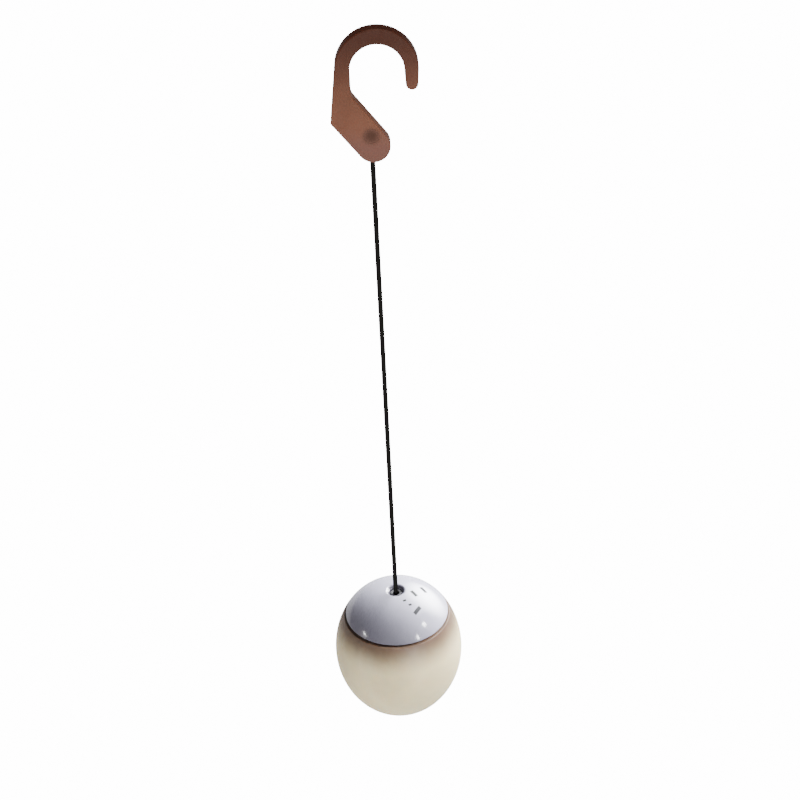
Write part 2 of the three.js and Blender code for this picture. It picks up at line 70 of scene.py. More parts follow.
# The hook's circles, each as x, z and radius. The origin is where the eye rests on a rail.
EYE = (3.4 * MM, -math.sqrt(10.3 ** 2 - 3.4 ** 2) * MM, 10.3 * MM)
RIM = (3.3 * MM, EYE[1] + 0.45 * MM, 15.9 * MM)
TIP = (16.4 * MM, -15.4 * MM, 2.4 * MM)
LOBE = (0.7 * MM, -40.1 * MM, 6.6 * MM)
HEEL = (-15.3 * MM, -30.1 * MM)  # x and z of the hook's sharp corner
DIAGONAL_FACES = 0.645  # direction, in radians, that the diagonal's upper edge faces
INNER_FILLET = 1.6 * MM
HOOK_EDGE = 0.7 * MM  # moulded radius round both faces of the hook
POCKET = {"z": -35.6 * MM, "radius": 3 * MM, "back": 2.2 * MM}
BORE_RADIUS = 1.5 * MM
BORE_MOUTH = (2.3 * MM, 0.8 * MM)  # radius and depth
COVER = {"radius": 2.98 * MM, "thickness": 0.5 * MM, "dish": 0.12 * MM}

CORD_RADIUS = 1.05 * MM
STRANDS = 4  # pairs of strands round the braid
BRAID_PITCH = 2.2 * MM
BRAID_RELIEF = 0.02 * MM
BEND_STEPS, BEND_SIDES = 12, 32

SHELL_RADIUS = 30 * MM
SHELL_DEPTH = 36 * MM
DOME_RISE = 34.5 * MM
DOME_POWER = 2.25
SHELL_WALL = 2.4 * MM
CAP_WALL = 2.2 * MM
LIP = 20.6 * MM  # height of the shell's upper edge over the widest plane, as the heights below
CAP_EDGE = 21.6 * MM
FUNNEL = {"radius": 4.4 * MM, "bottom": 33 * MM, "hole": 3 * MM}
CAP_BOSS = {"radius": 6 * MM, "bottom": 29.5 * MM}
SKIRT = {"inner": 19.9 * MM, "outer": 21.3 * MM, "bottom": 16.6 * MM}
POST = {"distance": 13.2 * MM, "radius": 2 * MM, "bottom": 16.6 * MM, "top": 30 * MM}
PILOT = {"radius": 1.1 * MM, "top": 25.1 * MM}
SHELF = {"radius": 25.2 * MM, "top": 2.3 * MM, "bottom": 0.8 * MM}
RIB = {"inner": 22 * MM, "width": 3.6 * MM, "bottom": 5.5 * MM, "top": 13.6 * MM}
SPRING = {"wire": 0.4 * MM, "turns": 2, "steps_per_turn": 48, "sides": 10}  # wire is its radius
RIB_HOOK = {"inner": 19.4 * MM, "bottom": 12.3 * MM}

# Radii of the moulded edges.
COVER_ROUNDS = (0.04 * MM, 0.05 * MM)
CAP_ROUNDS = {"skirt": 0.3 * MM, "rim": 0.35 * MM, "mouth": 0.9 * MM, "hole": 0.35 * MM}
GROMMET_ROUNDS = (0.3 * MM, 0.2 * MM, 0.45 * MM, 0.5 * MM)
SHELL_ROUNDS = (0.4 * MM, 0.6 * MM)

# The widest plane of the timer, and the two points that the cord bends about.
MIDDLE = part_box("glow_shell")[0].z + SHELL_DEPTH
UPPER_PIVOT = sum(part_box("cord_upper_bend"), Vector()).z / 2
LOWER_PIVOT = sum(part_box("cord_lower_bend"), Vector()).z / 2

TURNED_SIDES = 128
SMALL_SIDES = 48
SHARP_ANGLE = math.radians(40)
ON_AXIS = 1e-9  # a radius or a difference below this counts as none
THIRDS = [i * 2 * math.pi / 3 for i in range(3)]

CAMERA_PITCH, CAMERA_ROLL = math.radians(33.3), math.radians(-2.72)
CAMERA_PLACE = (0.0062, -0.5508, 0.2031)
CAMERA_LENS, CAMERA_SENSOR = 69.3, 36


# ---- Mesh helpers --------------------------------------------------------------------------------

def new_object(name, data):
    made = bpy.data.objects.new(name, data)
    bpy.context.scene.collection.objects.link(made)
    return made


def smooth(mesh):
    mesh.polygons.foreach_set("use_smooth", [True] * len(mesh.polygons))
    mesh.set_sharp_from_angle(angle=SHARP_ANGLE)


def even_normals(piece):
    """Keeps flat faces flat beside their rounded edges."""
    modifier = piece.modifiers.new("even_normals", "WEIGHTED_NORMAL")
    modifier.keep_sharp = True
    modifier.weight = 80


def finished_mesh(name, bm):
    mesh = bpy.data.meshes.new(name)
    bm.to_mesh(mesh)
    bm.free()
    return mesh


def closed_mesh(name, points, faces):
    bm = bmesh.new()
    verts = [bm.verts.new(p) for p in points]
    for f in faces:
        bm.faces.new([verts[i] for i in f])
    bmesh.ops.recalc_face_normals(bm, faces=bm.faces)
    return finished_mesh(name, bm)


def turned(name, profile, sides=TURNED_SIDES, centre=(0, 0, 0)):
    """A profile of (radius, height) points turned round Z.

    The profile is a loop, unless both its ends lie on the axis.
    """
    points, rows = [], []
    for r, z in profile:
        if r < ON_AXIS:
            rows.append([len(points)] * sides)
            points.append((0, 0, z))
            continue
        rows.append(list(range(len(points), len(points) + sides)))
        for i in range(sides):
            a = 2 * math.pi * i / sides
            points.append((r * math.cos(a), r * math.sin(a), z))
    faces = []
    open_ended = profile[0][0] < ON_AXIS and profile[-1][0] < ON_AXIS
    pairs = list(zip(rows, rows[1:])) + ([] if open_ended else [(rows[-1], rows[0])])
    for low, high in pairs:
        for i in range(sides):
            j = (i + 1) % sides
            face = list(dict.fromkeys([low[i], low[j], high[j], high[i]]))
            if len(face) > 2:
                faces.append(face)
    mesh = closed_mesh(name, [Vector(p) + Vector(centre) for p in points], faces)
    return new_object(name, mesh)


def curve_round(before, corner, after, steps):
    """A curve from before to after that cuts the corner between them."""
    made = []
    for k in range(steps + 1):
        t = k / steps
        p = (1 - t) ** 2 * before + 2 * t * (1 - t) * corner + t * t * after
        made.append((p.x, p.y))
    return made


def rounded(profile, radii, steps=5):
    """The profile, with the corner at each index in radii made a curve of about that radius."""
    made = []
    count = len(profile)
    for i, corner in enumerate(profile):
        if i not in radii:
            made.append(corner)
            continue
        here = Vector(corner)
        ends = []
        for other in (Vector(profile[(i - 1) % count]), Vector(profile[(i + 1) % count])):
            away = other - here
            ends.append(here + away.normalized() * min(radii[i], away.length * 0.49))
        made.extend(curve_round(ends[0], here, ends[1], steps))
    return made


def boolean(piece, others, operation):
    for other in others:
        modifier = piece.modifiers.new("cut", "BOOLEAN")
        modifier.operation = operation
        modifier.solver = "EXACT"
        modifier.object = other
    graph = bpy.context.evaluated_depsgraph_get()
    mesh = bpy.data.meshes.new_from_object(piece.evaluated_get(graph))
    piece.modifiers.clear()
    piece.data = mesh
    for other in others:
        bpy.data.objects.remove(other)


def block(name, low, high, turn):
    heights, depths, widths = ((low[k], high[k]) for k in (2, 1, 0))
    corners = [Vector((x, y, z)) for z in heights for y in depths for x in widths]
    around = Matrix.Rotation(turn, 4, "Z")
    faces = [(0, 1, 3, 2), (4, 5, 7, 6), (0, 1, 5, 4), (2, 3, 7, 6), (0, 2, 6, 4), (1, 3, 7, 5)]
    return new_object(name, closed_mesh(name, [around @ c for c in corners], faces))


def disc(name, radius, bottom, top, at=(0, 0)):
    profile = [(0, bottom), (radius, bottom), (radius, top), (0, top)]
    return turned(name, profile, SMALL_SIDES, (*at, 0))


def polar(distance, angle):
    return distance * math.cos(angle), distance * math.sin(angle)


def facing_front(at):
    """Turns what was made along Z to run along Y, and puts it at a point."""
    return Matrix.Translation(at) @ Matrix.Rotation(math.pi / 2, 4, "X")


# ---- Camera --------------------------------------------------------------------------------------

def make_camera():
    forward = Vector((0, math.cos(CAMERA_PITCH), -math.sin(CAMERA_PITCH)))
    right = Vector((1, 0, 0))
    up = right.cross(forward)
    across = math.cos(CAMERA_ROLL) * right + math.sin(CAMERA_ROLL) * up
    upward = math.cos(CAMERA_ROLL) * up - math.sin(CAMERA_ROLL) * right
    data = bpy.data.cameras.new("camera")
    data.sensor_width = CAMERA_SENSOR
    data.lens = CAMERA_LENS
    data.clip_start, data.clip_end = 0.02, 50
    camera = new_object("camera", data)
    turn = Matrix((across, upward, -forward)).transposed().to_4x4()
    camera.matrix_world = Matrix.Translation(CAMERA_PLACE) @ turn
    bpy.context.scene.camera = camera


make_camera()


# ---- Cord ----------------------------------------------------------------------------------------

def make_cord():
    """A braided tube between the two bends. Its strands stand a little proud of one another."""
    span = UPPER_PIVOT - LOWER_PIVOT
    rings, sides = round(span / (BRAID_PITCH / 8)), 8 * STRANDS
    bm = bmesh.new()
    rows = []
    for k in range(rings + 1):
        z = UPPER_PIVOT - span * k / rings
        row = []
        for i in range(sides):
            a = 2 * math.pi * i / sides
            rise, turn = 2 * math.pi * z / BRAID_PITCH, STRANDS * a
            left, right = math.sin(rise + turn), math.sin(rise - turn)
            r = CORD_RADIUS - BRAID_RELIEF * (0.5 - 0.5 * left * right)
            row.append(bm.verts.new((r * math.cos(a), r * math.sin(a), z)))
        rows.append(row)
    for high, low in zip(rows, rows[1:]):
        for i in range(sides):
            j = (i + 1) % sides
            bm.faces.new((high[i], low[i], low[j], high[j]))
    bm.faces.new(rows[0])
    bm.faces.new(list(reversed(rows[-1])))
    bmesh.ops.recalc_face_normals(bm, faces=bm.faces)
    mesh = finished_mesh("cord_braid_shape", bm)
    mesh.polygons.foreach_set("use_smooth", [len(f.vertices) == 4 for f in mesh.polygons])
    made = new_object("braided_cord", mesh)
    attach(made, "cord")
    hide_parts("cord")
    return made


def make_bend(name, node, body):
    """The short rounded stretch of cord at one end, where it flexes."""
    low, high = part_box(node)
    middle, half = (low.z + high.z) / 2, (high.z - low.z) / 2
    turns = [math.pi * i / BEND_STEPS for i in range(1, BEND_STEPS)]
    side = [(half * math.sin(t), middle - half * math.cos(t)) for t in turns]
    profile = [(0, low.z), *side, (0, high.z)]
    bend = turned(name, profile, BEND_SIDES)
    smooth(bend.data)
    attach(bend, body)
    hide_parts(node)
    return bend


cord = make_cord()
upper_bend = make_bend("upper_bend", "cord_upper_bend", "cord_top")
lower_bend = make_bend("lower_bend", "cord_lower_bend", "cord_bottom")


# ---- Outline of the timer ------------------------------------------------------------------------

def dome_curve(radius, rise, low, high, steps):
    """The timer's upper outline, or its lining, between two heights over the widest plane."""
    start, end = math.asin(low / rise), math.asin(high / rise)
    made = []
    for i in range(steps + 1):
        t = start + (end - start) * i / steps
        made.append((radius * math.cos(t) ** (2 / DOME_POWER), MIDDLE + rise * math.sin(t)))
    return made


def bowl_curve(radius, depth, start, end, steps):
    """The timer's lower outline, or its lining, between two angles from straight down."""
    made = []
    for i in range(steps + 1):
        t = start + (end - start) * i / steps
        made.append((radius * math.sin(t), MIDDLE - depth * math.cos(t)))
    return made


def dome_height(radius, rise, r):
    return rise * math.sqrt(1 - (r / radius) ** DOME_POWER)


# ---- Hook ----------------------------------------------------------------------------------------

def arc(circle, start, end, step=math.radians(4)):
    x, z, radius = circle
    count = max(2, math.ceil(abs(end - start) / step))
    made = []
    for i in range(count + 1):
        a = start + (end - start) * i / count
        made.append((x + radius * math.cos(a), z + radius * math.sin(a)))
    return made


def touch_angle(point, circle, side):
    """Angle, seen from the circle's centre, of the point where a line from outside touches it."""
    dx, dz = point[0] - circle[0], point[1] - circle[1]
    return math.atan2(dz, dx) + side * math.acos(circle[2] / math.hypot(dx, dz))


def hook_outline():
    inner_left = EYE[0] - EYE[2]
    edge = Vector((-math.sin(DIAGONAL_FACES), math.cos(DIAGONAL_FACES)))
    foot = Vector(LOBE[:2]) + LOBE[2] * Vector((math.cos(DIAGONAL_FACES), math.sin(DIAGONAL_FACES)))
    corner = foot + edge * ((inner_left - foot.x) / edge.x)
    before, after = corner - edge * INNER_FILLET, corner + Vector((0, INNER_FILLET))
    fillet = curve_round(before, corner, after, 8)
    return [
        *arc(LOBE, touch_angle(HEEL, LOBE, 1), DIAGONAL_FACES + 2 * math.pi),
        *fillet,
        *arc(EYE, math.pi, 0),
        *arc(TIP, math.pi, 2 * math.pi, math.radians(12)),
        *arc(RIM, 0, touch_angle(HEEL, RIM, -1) + 2 * math.pi),
        HEEL,
    ]


def make_hook():
    outline = hook_outline()
    bm = bmesh.new()
    front = [bm.verts.new((x, -HOOK_HALF, z)) for x, z in outline]
    back = [bm.verts.new((x, HOOK_HALF, z)) for x, z in outline]
    bm.faces.new(front)
    bm.faces.new(list(reversed(back)))
    count = len(outline)
    for i in range(count):
        j = (i + 1) % count
        bm.faces.new((front[j], front[i], back[i], back[j]))
    bmesh.ops.recalc_face_normals(bm, faces=bm.faces)
    rims = [e for e in bm.edges if abs(e.verts[0].co.y - e.verts[1].co.y) < ON_AXIS]
    bmesh.ops.bevel(bm, geom=rims, offset=HOOK_EDGE, segments=5, profile=0.5, affect="EDGES")
    hook = new_object("hook_moulding", finished_mesh("hook_shape", bm))

    depth = HOOK_HALF + POCKET["back"] + MM
    pocket = disc("pocket", POCKET["radius"], 0, depth)
    pocket.data.transform(facing_front((0, POCKET["back"], POCKET["z"])))
    foot = LOBE[1] - LOBE[2]
    bore = turned("bore", [
        (0, foot - MM), (BORE_MOUTH[0], foot - MM), (BORE_MOUTH[0], foot),
        (BORE_RADIUS, foot + BORE_MOUTH[1]), (BORE_RADIUS, POCKET["z"]), (0, POCKET["z"]),
    ], SMALL_SIDES)
    boolean(hook, [pocket, bore], "DIFFERENCE")
    smooth(hook.data)
    even_normals(hook)
    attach(hook, "hook")
    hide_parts("hook_body")
    return hook


def make_cover():
    """A shallow dished plug in the front of the hook's foot. Its object sits at its own centre."""
    r, t, dish = COVER["radius"], COVER["thickness"], COVER["dish"]
    face = [(r * k / 10, -dish * (1 - (k / 10) ** 2)) for k in range(11)]
    profile = rounded([(0, -t), (r, -t), *reversed(face)], dict(enumerate(COVER_ROUNDS, 1)))
    cover = turned("knot_plug", profile, SMALL_SIDES)
    cover.matrix_world = facing_front((0, -HOOK_HALF, POCKET["z"]))
    smooth(cover.data)
    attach(cover, "hook")
    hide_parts("knot_cover")
    return cover


# ---- Timer ---------------------------------------------------------------------------------------

def make_cap():
    """The glossy cap, with a funnel round the cord's hole and three screw posts inside."""
    inner_radius, inner_rise = SHELL_RADIUS - CAP_WALL, DOME_RISE - CAP_WALL
    funnel_top = dome_height(SHELL_RADIUS, DOME_RISE, FUNNEL["radius"])
    outer = dome_curve(SHELL_RADIUS, DOME_RISE, CAP_EDGE, funnel_top, 44)
    inner = list(reversed(dome_curve(
        inner_radius, inner_rise,
        dome_height(inner_radius, inner_rise, SKIRT["inner"]),
        dome_height(inner_radius, inner_rise, CAP_BOSS["radius"]), 24)))
    profile = [
        (SKIRT["outer"], MIDDLE + SKIRT["bottom"]), (SKIRT["outer"], MIDDLE + CAP_EDGE), *outer,
        (FUNNEL["hole"], MIDDLE + FUNNEL["bottom"]), (FUNNEL["hole"], MIDDLE + CAP_BOSS["bottom"]),
        (CAP_BOSS["radius"], MIDDLE + CAP_BOSS["bottom"]), *inner,
        (SKIRT["inner"], MIDDLE + SKIRT["bottom"]),
    ]
    corners = {"skirt": 0, "rim": 2, "mouth": 1 + len(outer), "hole": 2 + len(outer)}
    profile = rounded(profile, {corners[name]: radius for name, radius in CAP_ROUNDS.items()}, 6)
    cap = turned("gloss_cap", profile)
    angles = [math.pi / 6 + third for third in THIRDS]
    posts = [disc("post", POST["radius"], MIDDLE + POST["bottom"], MIDDLE + POST["top"],
                  polar(POST["distance"], a)) for a in angles]
    boolean(cap, posts, "UNION")
    pilots = [disc("pilot", PILOT["radius"], MIDDLE + POST["bottom"] - MM, MIDDLE + PILOT["top"],
                   polar(POST["distance"], a)) for a in angles]
    boolean(cap, pilots, "DIFFERENCE")
    smooth(cap.data)
    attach(cap, "cap")
    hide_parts("cap_shell")
    return cap


def make_grommet():
    low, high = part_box("cord_grommet")
    outer = high.x
    profile = rounded([
        (BORE_RADIUS, low.z), (outer, low.z), (outer, high.z), (BORE_RADIUS, high.z),
    ], dict(enumerate(GROMMET_ROUNDS)))
    grommet = turned("soft_grommet", profile, SMALL_SIDES)
    smooth(grommet.data)
    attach(grommet, "cap")
    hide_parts("cord_grommet")
    return grommet


def make_glow_shell():
    """The lower shell, with a shelf for the light-spreading disc and three hooked ribs."""
    inner_radius, inner_depth = SHELL_RADIUS - SHELL_WALL, SHELL_DEPTH - SHELL_WALL
    lip_inner = dome_curve(SHELL_RADIUS, DOME_RISE, LIP, LIP, 1)[0][0] - SHELL_WALL
    inner_rise = LIP / math.sqrt(1 - (lip_inner / inner_radius) ** DOME_POWER)
    bowl = bowl_curve(SHELL_RADIUS, SHELL_DEPTH, 0, math.pi / 2, 48)
    dome = dome_curve(SHELL_RADIUS, DOME_RISE, 0, LIP, 24)[1:]
    lining = list(reversed(dome_curve(inner_radius, inner_rise, SHELF["top"], LIP, 16)))
    well = list(reversed(bowl_curve(inner_radius, inner_depth, 0, math.pi / 2 - 0.12, 28)))
    shelf = [(SHELF["radius"], MIDDLE + SHELF["top"]), (SHELF["radius"], MIDDLE + SHELF["bottom"])]
    profile = [*bowl, *dome, *lining, *shelf, *well]
    rim = len(bowl) + len(dome) - 1
    profile = rounded(profile, dict(enumerate(SHELL_ROUNDS, rim)), 6)
    shell = turned("soft_shell", profile)

    middle_radius, middle_rise = SHELL_RADIUS - SHELL_WALL / 2, DOME_RISE - SHELL_WALL / 2
    half = RIB["width"] / 2
    for turn in THIRDS:
        rib = block("rib", (RIB["inner"], -half, MIDDLE + RIB["bottom"]),
                    (SHELL_RADIUS, half, MIDDLE + RIB["top"]), turn)
        inside = turned("inside", [
            *bowl_curve(middle_radius, inner_depth, 0, math.pi / 2, 12),
            *dome_curve(middle_radius, middle_rise, 0, LIP, 12)[1:], (0, MIDDLE + LIP)])
        boolean(rib, [inside], "INTERSECT")
        claw = block("claw", (RIB_HOOK["inner"], -half, MIDDLE + RIB_HOOK["bottom"]),
                     (RIB["inner"] + MM, half, MIDDLE + RIB["top"]), turn)
        boolean(rib, [claw], "UNION")
        boolean(shell, [rib], "UNION")
    smooth(shell.data)
    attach(shell, "glow_shell")
    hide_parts("glow_shell")
    return shell


def make_spring():
    """The return spring. Its upper end stays on the turn ring."""
    low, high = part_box("return_spring")
    radius = high.x - SPRING["wire"]
    steps, sides = SPRING["turns"] * SPRING["steps_per_turn"], SPRING["sides"]
    bottom, top = low.z + SPRING["wire"], high.z - SPRING["wire"]
    points, faces = [], []
    for k in range(steps + 1):
        a = 2 * math.pi * SPRING["turns"] * k / steps
        for i in range(sides):
            b = 2 * math.pi * i / sides
            r = radius + SPRING["wire"] * math.cos(b)
            z = bottom + (top - bottom) * k / steps + SPRING["wire"] * math.sin(b)
            points.append((r * math.cos(a), r * math.sin(a), z))
    for k in range(steps):
        for i in range(sides):
            j = (i + 1) % sides
            faces.append((k * sides + i, k * sides + j, (k + 1) * sides + j, (k + 1) * sides + i))
    faces.append(tuple(range(sides)))
    faces.append(tuple(steps * sides + i for i in reversed(range(sides))))
    coil = new_object("coil_spring", closed_mesh("coil_spring", points, faces))
    smooth(coil.data)
    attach(coil, "turn_ring")
    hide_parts("return_spring")
    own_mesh(coil)
    return coil


hook = make_hook()
cover = make_cover()
cap = make_cap()
grommet = make_grommet()
shell = make_glow_shell()
spring = make_spring()


# ---- Materials -----------------------------------------------------------------------------------

def join(tree, socket, value):
    """Sets a socket, or links it where the value is another node's output."""
    if isinstance(value, bpy.types.NodeSocket):
        tree.links.new(value, socket)
    else:
        socket.default_value = value


def add_node(tree, kind, inputs=None, **settings):
    node = tree.nodes.new("ShaderNode" + kind)
    for key, value in settings.items():
        setattr(node, key, value)
    for key, value in (inputs or {}).items():
        join(tree, node.inputs[key], value)
    return node


def empty_tree(owner):
    owner.use_nodes = True
    owner.node_tree.nodes.clear()
    return owner.node_tree


class Look:
    """A procedural material. Its methods add nodes and give their output.

    A noise scale is in cells per metre: under 200 for clouds in the colour, 250 to 500 for an
    uneven gloss, and over 1500 for a moulded grain.
    """

    def __init__(self, name, color, roughness, metallic=0.0, **more):
        self.material = bpy.data.materials.new(name)
        self.material.use_nodes = True
        self.tree = self.material.node_tree
        self.shader = self.tree.nodes["Principled BSDF"]
        self.material.diffuse_color = (*color, 1)
        self.place = self.add("TexCoord").outputs["Object"]
        self.set("Base Color", (*color, 1))
        self.set("Roughness", roughness)
        self.set("Metallic", metallic)
        for key, value in more.items():
            self.set(key.replace("_", " ").title().replace("Ior", "IOR"), value)

    def set(self, key, value):
        join(self.tree, self.shader.inputs[key], value)

    def add(self, kind, inputs=None, **settings):
        return add_node(self.tree, kind, inputs, **settings)

    def math(self, operation, a, b=0.0, clamp=False):
        return self.add("Math", {0: a, 1: b}, operation=operation, use_clamp=clamp).outputs[0]

    def noise(self, scale, detail, roughness=0.55, vector=None):
        return self.add("TexNoise", {
            "Vector": vector or self.place,
            "Scale": scale, "Detail": detail, "Roughness": roughness,
        }).outputs["Fac"]

    def span(self, value, low, high, to_low=0.0, to_high=1.0, kind="SMOOTHSTEP"):
        return self.add("MapRange", {
            "Value": value, "From Min": low, "From Max": high, "To Min": to_low, "To Max": to_high,
        }, interpolation_type=kind).outputs["Result"]

    def mix(self, share, a, b):
        a, b = (c if isinstance(c, bpy.types.NodeSocket) else (*c, 1) for c in (a, b))
        return self.add("Mix", {0: share, 6: a, 7: b}, data_type="RGBA").outputs[2]

    def stretched(self, scale):
        return self.add("Mapping", {"Vector": self.place, "Scale": scale}).outputs["Vector"]

    def axes(self):
        return self.add("SeparateXYZ", {"Vector": self.place}).outputs

    def distance(self, along, centre=(0, 0, 0)):
        """How far a point is from the centre, along only the axes that are 1 in along."""
        moved = self.add("VectorMath", {0: self.place, 1: centre}, operation="SUBTRACT")
        kept = self.add("VectorMath", {0: moved.outputs["Vector"], 1: along}, operation="MULTIPLY")
        far = self.add("VectorMath", {0: kept.outputs["Vector"]}, operation="LENGTH")
        return far.outputs["Value"]

    def bump(self, height, distance, strength):
        node = self.add("Bump", {"Height": height, "Distance": distance, "Strength": strength})
        self.set("Normal", node.outputs["Normal"])


def lighter(color, share):
    return tuple(min(1.0, c * share) for c in color)


def moulded(name, color, roughness, grain, patch=0.06):
    """Moulded plastic: faint cloudiness, uneven gloss and a fine grain."""
    look = Look(name, color, roughness)
    cloud = look.span(look.noise(140, 4), 0.35, 0.65)
    gloss = look.span(look.noise(420, 3), 0.3, 0.7, roughness - 0.05, roughness + 0.06)
    look.set("Base Color", look.mix(cloud, lighter(color, 1 - patch), lighter(color, 1 + patch)))
    look.set("Roughness", gloss)
    look.bump(look.noise(2600, 3), grain, 0.6)
    return look


def metal(name, color, roughness, lines):
    """Worked metal, with fine lines along the axis that lines stretches least."""
    look = Look(name, color, roughness, 1.0)
    streak = look.noise(1.0, 4, vector=look.stretched(lines))
    shine = look.span(streak, 0.35, 0.65)
    look.set("Base Color", look.mix(shine, lighter(color, 0.84), lighter(color, 1.08)))
    look.set("Roughness", look.span(streak, 0.3, 0.7, roughness - 0.07, roughness + 0.1))
    look.bump(streak, 0.006 * MM, 0.5)
    return look


PLUG_SHADE = (0.092, 0.039, 0.024)  # colour at the middle of the plug
PLUG_FADE = (0.6 * MM, 4.8 * MM)  # distances from the middle where that starts to fade and ends
HOOK_FOOT = (0.215, 0.096, 0.072)
HOOK_TOP_SHADE = (-30 * MM, 6 * MM)  # heights where the painted shade towards the top of the hook starts and is darkest
HOOK_REDDENS = (-30 * MM, -42 * MM)  # and, downwards, where it takes the foot's colour


def hook_look():
    """Brown plastic, with painted shade towards the top of the eye, and darker round the plug."""
    front, top_shade = (0.245, 0.098, 0.057), (0.072, 0.021, 0.011)
    look = Look("hook_brown", front, 0.55, specular_ior_level=0.22, subsurface_weight=0.1,
                subsurface_radius=(0.004, 0.0015, 0.001), subsurface_scale=0.5)
    cloud = look.span(look.noise(65, 4, 0.5), 0.32, 0.68)
    height = look.axes()["Z"]
    tone = look.mix(cloud, front, lighter(front, 0.84))
    # painted shade: the hook darkens towards the top of its eye
    tone = look.mix(look.span(height, *HOOK_TOP_SHADE), tone, top_shade)
    tone = look.mix(look.span(height, *HOOK_REDDENS), tone, HOOK_FOOT)
    away = look.distance((1, 0, 1), (0, 0, POCKET["z"]))
    shaded = look.mix(look.span(away, *PLUG_FADE), PLUG_SHADE, tone)
    behind = look.span(look.axes()["Y"], -HOOK_HALF / 2, HOOK_HALF / 2)
    look.set("Base Color", look.mix(behind, shaded, tone))
    look.set("Roughness", look.span(look.noise(300, 3), 0.3, 0.7, 0.5, 0.62))
    look.bump(look.noise(1900, 3), 0.02 * MM, 0.5)
    return look


def cover_look():
    """Carries on the hook's shade from its rim to its dark middle."""
    look = Look("plug_brown", PLUG_SHADE, 0.58, specular_ior_level=0.2)
    away = look.distance((1, 1, 0))
    grain = look.span(look.noise(500, 3), 0.3, 0.7, -0.04, 0.04)
    share = look.math("ADD", look.span(away, *PLUG_FADE), grain, True)
    look.set("Base Color", look.mix(share, PLUG_SHADE, HOOK_FOOT))
    look.bump(look.noise(1900, 3), 0.02 * MM, 0.5)
    return look


def cord_look():
    """Black braid: fine fibres that run along two sets of winding strands."""
    look = Look("cord_braid", (0.006, 0.006, 0.0055), 0.9, specular_ior_level=0.1)
    axes = look.axes()
    turn = look.math("MULTIPLY", look.math("ARCTAN2", axes["Y"], axes["X"]), float(STRANDS))
    rise = look.math("MULTIPLY", axes["Z"], 2 * math.pi / BRAID_PITCH)
    left = look.math("SINE", look.math("ADD", rise, turn))
    right = look.math("SINE", look.math("SUBTRACT", rise, turn))
    weave = look.span(look.math("MULTIPLY", left, right), -1, 1)
    look.set("Base Color", look.mix(weave, (0.007, 0.007, 0.0063), (0.016, 0.016, 0.014)))
    look.bump(look.math("ADD", weave, look.noise(9000, 2)), 0.03 * MM, 0.6)
    return look


# Plain printed ticks beside the cord's hole: x, y, half length and half width in mm, and turn.
TICKS = [
    (12.9, 2.2, 1.9, 0.85, 2.3), (8.4, -2.0, 1.9, 0.85, 2.3),
    (3.9, -6.9, 0.8, 0.5, 0.4), (6.4, -8.9, 0.8, 0.5, 0.4), (9.6, -11.0, 2.4, 0.8, 0.95),
]
TICK_EDGE = (1.12, 0.9)  # shares of a tick's half sizes between which its ink starts
INK = (0.012, 0.012, 0.016)
# colour of the painted shade inside the funnel's mouth
FUNNEL_PAINTED_SHADE = (0.10, 0.095, 0.12)
FUNNEL_SHADE_FADE = (4.6 * MM, 3.6 * MM)  # distances from the axis between which the painted shade inside the funnel fades in


def cap_look():
    """Glossy bluish white, with the ticks, and painted shade inside the funnel's mouth."""
    look = Look("cap_white", (0.40, 0.39, 0.475), 0.12, ior=1.62, subsurface_weight=0.08,
                subsurface_radius=(0.003, 0.003, 0.003), subsurface_scale=0.5)
    cloud = look.span(look.noise(60, 3), 0.35, 0.65)
    tone = look.mix(cloud, (0.385, 0.375, 0.46), (0.415, 0.405, 0.49))
    ink = None
    for x, y, half_length, half_width, turn in TICKS:
        local = look.add("Mapping", {
            "Vector": look.place, "Location": (x * MM, y * MM, 0), "Rotation": (0, 0, turn),
            "Scale": (half_length * MM, half_width * MM, 1000.0),
        }, vector_type="TEXTURE").outputs["Vector"]
        reach = look.add("VectorMath", {0: local}, operation="ABSOLUTE").outputs["Vector"]
        sides = look.add("SeparateXYZ", {"Vector": reach}).outputs
        mark = look.span(look.math("MAXIMUM", sides["X"], sides["Y"]), *TICK_EDGE)
        ink = mark if ink is None else look.math("MAXIMUM", ink, mark)
    above = look.math("GREATER_THAN", look.axes()["Z"], MIDDLE + CAP_EDGE)
    printed = look.math("MULTIPLY", ink, above)
    gloss = look.span(look.noise(350, 4), 0.3, 0.75, 0.08, 0.16)
    # painted shade: the funnel's mouth darkens round the cord's hole
    tone = look.mix(look.span(look.distance((1, 1, 0)), *FUNNEL_SHADE_FADE), tone, FUNNEL_PAINTED_SHADE)
    look.set("Base Color", look.mix(printed, tone, INK))
    look.set("Roughness", look.math("ADD", gloss, look.math("MULTIPLY", printed, 0.75), True))
    look.bump(look.noise(90, 2), 0.02 * MM, 0.35)
    return look


CAP_SHADOW_FADE = (6.5 * MM, 20 * MM)  # heights over the widest plane between which the painted shadow under the cap's edge darkens the shell


def shell_look():
    """Milky soft plastic, with a painted shadow that darkens it to brown under the cap's edge."""
    cream, shadow_brown = (0.88, 0.745, 0.455), (0.165, 0.105, 0.072)
    look = Look("shell_cream", cream, 0.46, subsurface_weight=0.5,
                subsurface_radius=(0.006, 0.0045, 0.003), subsurface_scale=0.6)
    height = look.math("SUBTRACT", look.axes()["Z"], MIDDLE)
    cloud = look.noise(70, 4)
    wander = look.span(cloud, 0.3, 0.7, -0.6 * MM, 0.6 * MM, "LINEAR")
    # painted shadow: a brown band under the cap's edge, its lower edge wandering with the cloud
    cap_shadow = look.span(look.math("ADD", height, wander), *CAP_SHADOW_FADE)
    milk = look.mix(look.span(cloud, 0.3, 0.7), lighter(cream, 0.95), lighter(cream, 1.05))
    look.set("Base Color", look.mix(cap_shadow, milk, shadow_brown))
    look.set("Roughness", look.span(look.noise(260, 3), 0.3, 0.7, 0.4, 0.52))
    look.bump(look.noise(1500, 3), 0.015 * MM, 0.5)
    return look


